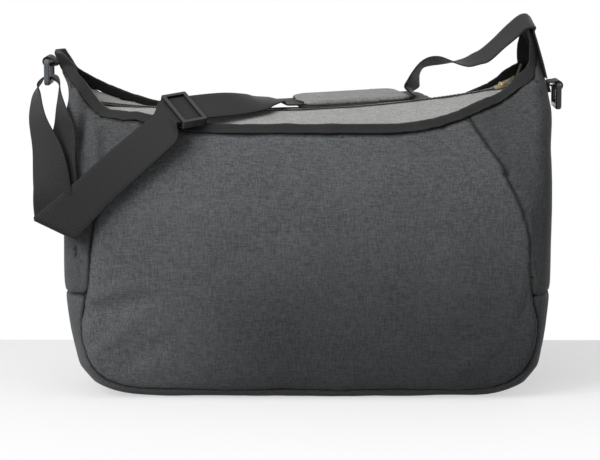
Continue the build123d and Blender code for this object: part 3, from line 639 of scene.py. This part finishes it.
def metal(name, colour, rough, scratch):
    """Cast and plated metal. Fine rubbing marks spread its highlights, and scratch is how much."""
    made = bpy.data.materials.new(name)
    tree = cleared_tree(made)
    place = add_node(tree, "ShaderNodeTexCoord").outputs["Object"]
    rub = add_node(tree, "ShaderNodeMapping", {"Vector": place, "Scale": RUB_MARKS})
    marks = add_node(tree, "ShaderNodeTexNoise", {"Vector": rub.outputs[0], "Scale": 1.0, "Detail": 4.0})
    gloss = add_node(tree, "ShaderNodeMapRange", {"Value": marks.outputs["Fac"], "To Min": rough - scratch,
                                                  "To Max": rough + scratch})
    level = add_node(tree, "ShaderNodeMapRange", {"Value": marks.outputs["Fac"], "To Min": 0.8,
                                                  "To Max": 1.15})
    hue = add_node(tree, "ShaderNodeMix", {0: 1.0, 6: linear(colour), 7: level.outputs[0]}, data_type="RGBA",
                   blend_type="MULTIPLY")
    relief = add_node(tree, "ShaderNodeBump", {"Height": marks.outputs["Fac"], "Strength": 0.15,
                                               "Distance": 0.05 * MM})
    surface = add_node(tree, "ShaderNodeBsdfPrincipled", {"Base Color": hue.outputs[2], "Metallic": 1.0,
                                                          "Roughness": gloss.outputs[0],
                                                          "Normal": relief.outputs[0]})
    add_node(tree, "ShaderNodeOutputMaterial", {"Surface": surface.outputs[0]})
    return made


def coat(node_names, material):
    """Gives CAD nodes their finish."""
    for node_name in node_names:
        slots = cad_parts[node_name].data.materials
        slots.clear()
        slots.append(material)


coat(("front_teeth", "back_teeth", "zip_stops"), metal("gunmetal_plated_teeth", "4d4a45", 0.42, 0.1))
coat(("zip_slider", "zip_pull"), metal("plated_brass_slider", "cdbc93", 0.28, 0.1))

# ---------------------------------------------------------------- webbing
# The strap and the ring tabs are 38 mm ribbed polyester webbing, 1.4 mm thick, dyed black.
# Its lengthwise ribs and fine cross threads give a soft grey bloom under a grazing light.
WEB_WIDTH = 38 * MM
WEB_THICK = 1.4 * MM
RIB = 2.4 * MM  # the real ribs are about 1.2 mm apart, too fine to show
CROSS_THREAD = 2.2 * MM
WEB_STEP = 3 * MM  # from row to row along a run
WEB_COLUMNS = 8  # across it
WOVEN_EDGE = 0.35 * MM  # how far its edges are rounded
FUZZ_SCALE = 700.0  # clumps of fuzz 1.4 mm apart
SLANTED_SPREAD = 40  # a longer spread than this, in mm, is a fold that runs slantwise across


def ribbed_webbing(name, colour):
    """Woven strap with lengthwise ribs. Its UV map is in metres, along and across."""
    made = bpy.data.materials.new(name)
    tree = cleared_tree(made)
    strip = add_node(tree, "ShaderNodeUVMap", uv_map="strip")
    split = add_node(tree, "ShaderNodeSeparateXYZ", {0: strip.outputs[0]})
    waves = []
    for way, pitch in (("Y", RIB), ("X", CROSS_THREAD)):
        turns = add_node(tree, "ShaderNodeMath", {0: split.outputs[way], 1: 2 * math.pi / pitch},
                         operation="MULTIPLY")
        waves.append(add_node(tree, "ShaderNodeMath", {0: turns.outputs[0]}, operation="SINE").outputs[0])
    cross = add_node(tree, "ShaderNodeMath", {0: waves[1], 1: 0.7}, operation="MULTIPLY")
    height = add_node(tree, "ShaderNodeMath", {0: waves[0], 1: cross.outputs[0]}, operation="ADD")
    place = add_node(tree, "ShaderNodeTexCoord").outputs["Object"]
    fluff = add_node(tree, "ShaderNodeTexNoise", {"Vector": place, "Scale": FUZZ_SCALE, "Detail": 3.0})
    ribs = add_node(tree, "ShaderNodeMapRange", {"Value": height.outputs[0], "From Min": -1.7,
                                                 "From Max": 1.7, "To Min": 0.35, "To Max": 1.65})
    haze = add_node(tree, "ShaderNodeMapRange", {"Value": fluff.outputs["Fac"], "From Min": 0.3,
                                                 "From Max": 0.7, "To Min": 0.85, "To Max": 1.2})
    level = add_node(tree, "ShaderNodeMath", {0: ribs.outputs[0], 1: haze.outputs[0]}, operation="MULTIPLY")
    hue = add_node(tree, "ShaderNodeMix", {0: 1.0, 6: linear(colour), 7: level.outputs[0]}, data_type="RGBA",
                   blend_type="MULTIPLY")
    relief = add_node(tree, "ShaderNodeBump", {"Height": height.outputs[0], "Strength": 0.4,
                                               "Distance": 0.15 * MM})
    cloth = add_node(tree, "ShaderNodeBsdfPrincipled", {"Base Color": hue.outputs[2], "Roughness": 0.7,
                                                        "Normal": relief.outputs[0], "Sheen Weight": 0.08,
                                                        "Sheen Roughness": 0.4, "Specular IOR Level": 0.25})
    add_node(tree, "ShaderNodeOutputMaterial", {"Surface": cloth.outputs[0]})
    return made


black_webbing = ribbed_webbing("ribbed_polyester_webbing", "1e1d1d")


def smooth_run(stations):
    """Rows on a smooth line through stations.

    A station is the webbing's middle and the way from its near to its far edge, in mm. A row is
    its middle in metres and the way across, which is longer than 1 where a fold runs slantwise.
    """
    places = [Vector(middle) * MM for middle, _ in stations]
    widths = [Vector(spread).normalized() for _, spread in stations]
    stretches = [max(Vector(spread).length / SLANTED_SPREAD, 1) for _, spread in stations]
    marks = [0.0]
    for a, b in zip(places, places[1:]):
        marks.append(marks[-1] + max((b - a).length, 0.2 * MM))

    def slope(values, i):
        low, high = max(i - 1, 0), min(i + 1, len(values) - 1)
        return (values[high] - values[low]) / (marks[high] - marks[low])

    rows = []
    for i in range(len(places) - 1):
        span = marks[i + 1] - marks[i]
        count = max(math.ceil(span / WEB_STEP), 1)
        for step in range(count + (i == len(places) - 2)):
            t = step / count
            blend = (2 * t**3 - 3 * t**2 + 1, (t**3 - 2 * t**2 + t) * span, 3 * t**2 - 2 * t**3,
                     (t**3 - t**2) * span)
            middle, width = (
                blend[0] * values[i] + blend[1] * slope(values, i)
                + blend[2] * values[i + 1] + blend[3] * slope(values, i + 1)
                for values in (places, widths)
            )
            stretch = stretches[i] * (1 - t) + stretches[i + 1] * t
            rows.append((middle, width.normalized() * stretch))
    return rows


def webbing(name, stations, nodes, body="bag", width=WEB_WIDTH):
    """A length of webbing laid through stations. It starts as a grid from -0.5 to 0.5."""
    rows = smooth_run(stations)
    mesh = bmesh.new()
    bmesh.ops.create_grid(mesh, x_segments=len(rows) - 1, y_segments=WEB_COLUMNS, size=0.5)
    strip = mesh.loops.layers.uv.new("strip")
    lengths = [0.0]
    for (a, _), (b, _) in zip(rows, rows[1:]):
        lengths.append(lengths[-1] + (b - a).length)
    where = {}
    mesh.verts.index_update()
    for v in mesh.verts:
        row = round((v.co.x + 0.5) * (len(rows) - 1))
        side = 2 * v.co.y
        where[v.index] = (lengths[row], side * width / 2)
        middle, across = rows[row]
        v.co = middle + across * (side * width / 2)
    for face in mesh.faces:
        for loop in face.loops:
            loop[strip].uv = where[loop.vert.index]
    piece = make_piece(mesh, name, body, black_webbing, nodes, WEB_THICK, middle=True)
    edge = piece.modifiers.new("woven_edge", "BEVEL")
    edge.width = WOVEN_EDGE
    edge.segments = 2
    edge.limit_method = "ANGLE"
    return piece


def from_edges(pairs):
    """Stations from (near edge, far edge) points."""
    return [(tuple((Vector(n) + Vector(f)) / 2), tuple(Vector(f) - Vector(n))) for n, f in pairs]


# The adjuster and the shoulder pad lie slantwise over the mouth. Each has a middle, in mm, and
# three ways: along the strap, across it and up.
mouth = 269.5  # height of the mouth's lowest point, in mm
glide_middle = Vector((-123, -52, mouth + 14.7))
glide_run = Vector((66, 40.5, 8.5)).normalized()
glide_side = Vector((-20.0, 28.4, 20.0))
glide_across = (glide_side - glide_run * glide_side.dot(glide_run)).normalized()
glide_up = glide_run.cross(glide_across)
pad_middle = Vector((42, 58, mouth + 16.9))
pad_run = Vector((0.946, 0.322, 0.030)).normalized()
pad_side = Vector((-0.322, 0.941, 0.08))
pad_across = (pad_side - pad_run * pad_side.dot(pad_run)).normalized()
pad_up = pad_run.cross(pad_across)


def on_glide(along, below=0.0):
    """A station so many mm along the adjuster and below its middle."""
    return (glide_middle + glide_run * along - glide_up * below, glide_across)


def on_pad(along):
    """A station so many mm along the shoulder pad."""
    return (pad_middle + pad_run * along, pad_across)


# From the adjuster the webbing crosses the mouth to the shoulder pad, comes out behind it, twists
# once, and climbs in an open bow to the right horn, where its end is sewn down.
horn_places = ((233.2, 312), (229.9, 325), (226.2, 338), (222.6, 350), (220.2, 358))
over_horn = [((x, 0, z), (0, 1, 0)) for x, z in horn_places]
bow = [
    ((221.5, 0, 364), (0, 37, 4)),
    ((217, 0, 367.5), (-1, 35, 11)),
    ((210.5, 0, 366.5), (-3, 35, 12)),
    ((200, -1, 357.5), (-9, 35, 8)),
    ((187, 0, 345.5), (-9, 36, 6)),
    ((173, 3, 333), (-6, 36, 9)),
    ((165, 7, 329.5), (-4, 36.5, 8)),
    ((157, 12, 326), (-2, 37, 6)),
    ((148, 20, 325), (-1, 37.8, 1)),
    ((139, 29, 325.5), (0, 37.7, -5)),
    ((130, 38, 326), (2, 36.5, -10)),
    ((121, 46, 324.5), (4, 36, -10)),
    ((113, 54, 320), (5, 37, -7)),
    ((108, 61, 312), (8, 36.5, -5)),
]
rise = [
    ((105.5, 67, mouth + 34), (13, 35.5, -4)),
    ((104, 72, mouth + 27.2), (16, 34, -2)),
    ((104.5, 75.5, mouth + 22.2), (4, 37.8, 0)),
    ((103, 77.8, mouth + 19.6), (-7, 37.3, 2)),
]
crossing = [
    ((-54, -10, mouth + 18.6), (-20, 28, 12)),
    ((-46, -1, mouth + 19), (-21, 30.5, 6)),
    ((-37, 11, mouth + 19.2), (-18, 33, 2)),
    ((-33, 19, mouth + 18.6), (-16, 34, 1)),
]
right_run = [on_glide(-15), on_glide(12), on_glide(54, 3.4)] + crossing
right_run += [on_pad(-74), on_pad(-30), on_pad(20), on_pad(61)]
right_run += rise[::-1] + bow[::-1] + over_horn[::-1]
webbing("strap_right_webbing", right_run, ["strap_right_run"])

# Below the adjuster it lies down the front, folds back on itself, goes up through the left ring,
# comes down outside it, folds again inside the first fold and returns under itself to the adjuster.
diagonal = [
    ((-129, -76, 260), (-150, -59, 279)),
    ((-139, -77, 247.5), (-162.6, -62, 269)),
    ((-170, -79, 218.9), (-194.4, -68, 243.6)),
    ((-196, -79.5, 193), (-225, -72, 218)),
]
behind = [
    ((-227, -70.5, 198), (-261, -64.5, 202)),
    ((-227, -68, 236.9), (-262, -50, 235.5)),
    ((-228.6, -60, 265.1), (-253, -29, 262.2)),
    ((-238.5, -46, 285.6), (-251, -11, 282.6)),
    ((-245.5, -25, 298.8), (-251, 12, 295.8)),
]
in_ring = [
    ((-249.3, 0, 306), (-3, 37.8, -2)),
    ((-252, 0, 310.4), (0, 38, 0)),
    ((-255, 0, 312.6), (0, 38, 0)),
    ((-259, 0, 313.2), (0, 38, 0)),
    ((-263, 0, 312.4), (0, 38, 0)),
    ((-266.5, 0, 309.8), (0, 38, 0)),
    ((-269, 0, 305.4), (0, 38, -1)),
]
before = [
    ((-266.6, -19, 298.3), (-276, 17, 295.4)),
    ((-263, -28, 286.1), (-278.8, 8, 285)),
    ((-256.6, -45, 273.7), (-278.6, -12, 270.7)),
    ((-238.8, -69, 245.4), (-272, -47, 243.2)),
    ((-232.5, -74, 209.8), (-268, -66.5, 208.7)),
]
back_up = [
    ((-196, -77.5, 193), (-225, -70, 218)),
    ((-170, -77, 218.9), (-194.4, -66, 243.6)),
    ((-139.5, -75, 247), (-163, -60, 268.5)),
    ((-129.7, -74, 258.7), (-150.5, -57, 277.8)),
]
FOLD_OUTER = 3.6  # radius of the outer layer's fold, in mm
FOLD_INNER = 1.6
FOLD_NEAR = Vector((-224.8, -79.5, 161.6))  # the fold runs slantwise across the webbing
FOLD_FAR = Vector((-268.2, -73.5, 181.5))
FOLD_DOWN = Vector((-0.35, 0, -0.94))


def folded_over(radius, shift, turns):
    """Half a turn of the webbing round the fold at its lowest point, as turns in degrees."""
    bend = []
    for turn in turns:
        angle = math.radians(turn)
        off = Vector((0, radius * (1 - math.cos(angle)), 0)) + FOLD_DOWN * radius * math.sin(angle)
        bend.append((FOLD_NEAR + shift + off, FOLD_FAR + shift + off))
    return from_edges(bend)


slip = Vector((-1.0, FOLD_OUTER - FOLD_INNER, 0.4))  # the inner fold lies within the outer one
half_turn = (0, 45, 90, 135, 180)
left_run = [on_glide(-15), on_glide(-18)] + from_edges(diagonal)
left_run += folded_over(FOLD_OUTER, Vector((0, 0, 0)), half_turn) + from_edges(behind) + in_ring
left_run += from_edges(before) + folded_over(FOLD_INNER, slip, half_turn[::-1])
left_run += from_edges(back_up) + [on_glide(-18, 2.0), on_glide(-15.2, 2.0)]
webbing("strap_left_webbing", left_run, ["strap_left_run"])

# The webbing's sewn end goes round the adjuster's middle bar.
LOOP_HIGH = 1.7  # its two layers lie so many mm below the adjuster's middle
LOOP_LOW = 5.6
LOOP_END = -14.4  # along the adjuster, in mm
LOOP_MIDDLE = -4
LOOP_BAR = 1.2
loop_places = (LOOP_END, LOOP_MIDDLE, LOOP_BAR)
loop_radius = (LOOP_LOW - LOOP_HIGH) / 2
loop_route = [on_glide(along, LOOP_LOW) for along in loop_places]
for turn in (-45, 0, 45):
    angle = math.radians(turn)
    loop_route.append(on_glide(LOOP_BAR + loop_radius * math.cos(angle),
                               (LOOP_HIGH + LOOP_LOW) / 2 - loop_radius * math.sin(angle)))
loop_route += [on_glide(along, LOOP_HIGH) for along in loop_places[::-1]]
webbing("strap_end_webbing", loop_route, ["strap_end_loop"], "strap_adjuster")


# ---------------------------------------------------------------- ring tabs
# A short piece of the same webbing is looped round each ring's upper bar, and its two ends are
# stitched to the side of the horn.
TAB_LOOP = 4.3  # middle of the webbing round the bar, in mm
TAB_WIDTH = 36 * MM
TAB_TURNS = range(50, 311, 26)  # where it lies on the bar, in degrees from the way to its seat
SEWN_APART = 0.9  # half the distance between its two sewn ends, in mm
TAIL_APART = 0.2  # and between their tails
SEWN_SHORT = 0.8  # how far off its seat the outer end lies, in mm
SEWN_UNDER = 2.4  # and the inner end's tail


def ring_tab(name, node_name, bar, seat, tail):
    """A tab round a ring's bar.

    bar and seat are x and z in mm. tail is how far the sewn ends run on down the side.
    """
    bar, seat = Vector(bar), Vector(seat)
    to_seat = (seat - bar).normalized()
    side = Vector((-to_seat.y, to_seat.x))
    start = math.degrees(math.atan2(to_seat.y, to_seat.x))
    route = []
    if tail:
        route.append(seat + Vector((0, -tail)) - to_seat * SEWN_SHORT + side * TAIL_APART)
    route.append(seat + side * SEWN_APART - to_seat * SEWN_SHORT)
    for turn in TAB_TURNS:
        angle = math.radians(start + turn)
        route.append(bar + Vector((math.cos(angle), math.sin(angle))) * TAB_LOOP)
    route.append(seat - side * SEWN_APART - to_seat * SEWN_SHORT)
    if tail:
        route.append(seat + Vector((0, -tail)) - to_seat * SEWN_UNDER - side * TAIL_APART)
    stations = [((p.x, 0, p.y), (0, 1, 0)) for p in route]
    webbing(name, stations, [node_name], width=TAB_WIDTH)


ring_tab("left_tab_webbing", "left_ring_tab", (-259, 328.5), (-248.2, 325.5), 0)
ring_tab("right_tab_webbing", "right_ring_tab", (244.6, 305), (234.6, 306.5), 8)


# ---------------------------------------------------------------- moulded fittings
# The two rings and the adjuster are injection-moulded acetal. The left ring is mid grey and
# satin, the right one and the adjuster are black. They have a fine even grain from the mould.
MOULD_GRAIN = 1500.0  # grains 0.7 mm apart
WEAR_SCALE = 120.0  # patches of wear 8 mm apart
WEAR = 0.08  # how much wear changes their roughness


def acetal(name, colour, rough):
    """Moulded plastic, rubbed smoother and rougher in patches, so that its highlights are uneven."""
    made = bpy.data.materials.new(name)
    tree = cleared_tree(made)
    place = add_node(tree, "ShaderNodeTexCoord").outputs["Object"]
    grain = add_node(tree, "ShaderNodeTexNoise", {"Vector": place, "Scale": MOULD_GRAIN})
    wear = add_node(tree, "ShaderNodeTexNoise", {"Vector": place, "Scale": WEAR_SCALE, "Detail": 3.0})
    gloss = add_node(tree, "ShaderNodeMapRange", {"Value": wear.outputs["Fac"], "From Min": 0.3,
                                                  "From Max": 0.7, "To Min": rough - WEAR,
                                                  "To Max": rough + WEAR})
    level = add_node(tree, "ShaderNodeMapRange", {"Value": wear.outputs["Fac"], "To Min": 0.85,
                                                  "To Max": 1.15})
    hue = add_node(tree, "ShaderNodeMix", {0: 1.0, 6: linear(colour), 7: level.outputs[0]}, data_type="RGBA",
                   blend_type="MULTIPLY")
    relief = add_node(tree, "ShaderNodeBump", {"Height": grain.outputs["Fac"], "Strength": 0.12,
                                               "Distance": 0.05 * MM})
    surface = add_node(tree, "ShaderNodeBsdfPrincipled", {"Base Color": hue.outputs[2],
                                                          "Roughness": gloss.outputs[0], "IOR": 1.48,
                                                          "Normal": relief.outputs[0]})
    add_node(tree, "ShaderNodeOutputMaterial", {"Surface": surface.outputs[0]})
    return made


coat(("left_ring",), acetal("satin_grey_acetal", "4c5054", 0.38))
coat(("strap_adjuster", "right_ring"), acetal("black_acetal", "1d1c1b", 0.24))

# ---------------------------------------------------------------- shoulder pad
# The cushion is foam in pale grey polyester with its corners rounded and its long edges turned
# down. Under it lies a black rubberised mesh that is a little larger, longest behind.
PAD_VOXEL = 2.2 * MM
PAD_PRESSURE = 3.0  # of the foam on its cover
PAD_FRAMES = 15  # the simulation runs for so many frames
PAD_SWELL = 0.8 * MM  # and what it moves is kept within this
PAD_PRESSED = 0.22  # share of its height that the worn foam has lost
EDGING_HIGH = 4.6  # the cushion's sides are bound in black up to here, in mm
BACKING_SAG = 2.4  # how far the backing hangs below the cushion, in mm
BACKING_RIPPLE = 0.3 * MM
BACKING_RIPPLE_LENGTH = 20 * MM
PAD_MOUTH = -50  # left of this the tunnel's mouth is bound too, in mm along the pad


def shown_mesh(piece):
    """The mesh of a piece with its modifiers applied."""
    bpy.context.view_layer.update()
    return bpy.data.meshes.new_from_object(piece.evaluated_get(bpy.context.evaluated_depsgraph_get()))


pad_cloth = melange("pale_polyester_pad_cover", "747472", "9a9a98", 0.9, 0.05)
mesh = copy_of("pad_cushion")
floor_level = min((v.co / MM - pad_middle).dot(pad_up) for v in mesh.verts)
for v in mesh.verts:
    v.co -= pad_up * (((v.co / MM - pad_middle).dot(pad_up) - floor_level) * PAD_PRESSED * MM)
cushion = make_piece(mesh, "pad_cushion_cover", "shoulder_pad", pad_cloth, ["pad_cushion"])
grid = cushion.modifiers.new("even_mesh", "REMESH")
grid.mode = "VOXEL"
grid.voxel_size = PAD_VOXEL
cushion.data = shown_mesh(cushion)
cushion.modifiers.clear()
before_swell = [v.co.copy() for v in cushion.data.vertices]
foam = cushion.modifiers.new("foam", "CLOTH")
foam.settings.use_pressure = True
foam.settings.uniform_pressure_force = PAD_PRESSURE
foam.settings.effector_weights.gravity = 0
foam.settings.quality = 5
for frame_number in range(1, PAD_FRAMES + 1):
    bpy.context.scene.frame_set(frame_number)
swollen = shown_mesh(cushion)
cushion.modifiers.clear()
for v, start, end in zip(cushion.data.vertices, before_swell, swollen.vertices):
    move = end.co - start
    v.co = start + move * min(1, PAD_SWELL / max(move.length, 1e-9))
bpy.context.scene.frame_set(1)
mesh = bmesh.new()
mesh.from_mesh(cushion.data)
relax(mesh, 2, held_edges=False)
mesh.normal_update()
for face in mesh.faces:
    here = face.calc_center_median() / MM - pad_middle
    edging = here.dot(pad_up) - floor_level < EDGING_HIGH or here.dot(pad_run) < PAD_MOUTH
    face.material_index = 1 if edging else 0
mesh.to_mesh(cushion.data)
mesh.free()
cushion.data.materials.clear()
cushion.data.materials.append(pad_cloth)
cushion.data.materials.append(binding_cloth)
cushion.data.shade_smooth()

rubber = fine_cloth("rubberised_mesh", "1f1f20", 1.6 * MM, 0.6)
mesh = copy_of("pad_base")
cut_in_squares(mesh, BINDING_SQUARE)
heights = [(v.co / MM - pad_middle).dot(pad_up) for v in mesh.verts]
for v, height in zip(mesh.verts[:], heights):
    if height < (min(heights) + max(heights)) / 2:
        v.co -= pad_up * BACKING_SAG * MM
relax(mesh, 2, held_edges=False)
ripple(mesh, BACKING_RIPPLE, BACKING_RIPPLE_LENGTH, 4)
make_piece(mesh, "pad_base_mesh", "shoulder_pad", rubber, ["pad_base"])

# ---------------------------------------------------------------- inside
# The lining, divider and pocket are plain grey nylon, and the base board is a sheet of black
# polyethylene. The closed zipper hides them.
LINING_EASE = 1.0 * MM  # the lining hangs a little inside the cloth
nylon = melange("nylon_lining", "27282a", "35373a", 0.6, 0.04)
for node_name in ("lining", "laptop_divider", "organiser_pocket"):
    mesh = copy_of(node_name)
    for v in mesh.verts:
        v.co -= away(v.co) * LINING_EASE
    settle(mesh)
    drag(mesh)
    make_piece(mesh, node_name + "_nylon", "bag", nylon, [node_name])
mesh = copy_of("base_board")
settle(mesh)
board_plastic = acetal("polyethylene_board", "1e1e1f", 0.5)
make_piece(mesh, "base_board_sheet", "bag", board_plastic, ["base_board"])
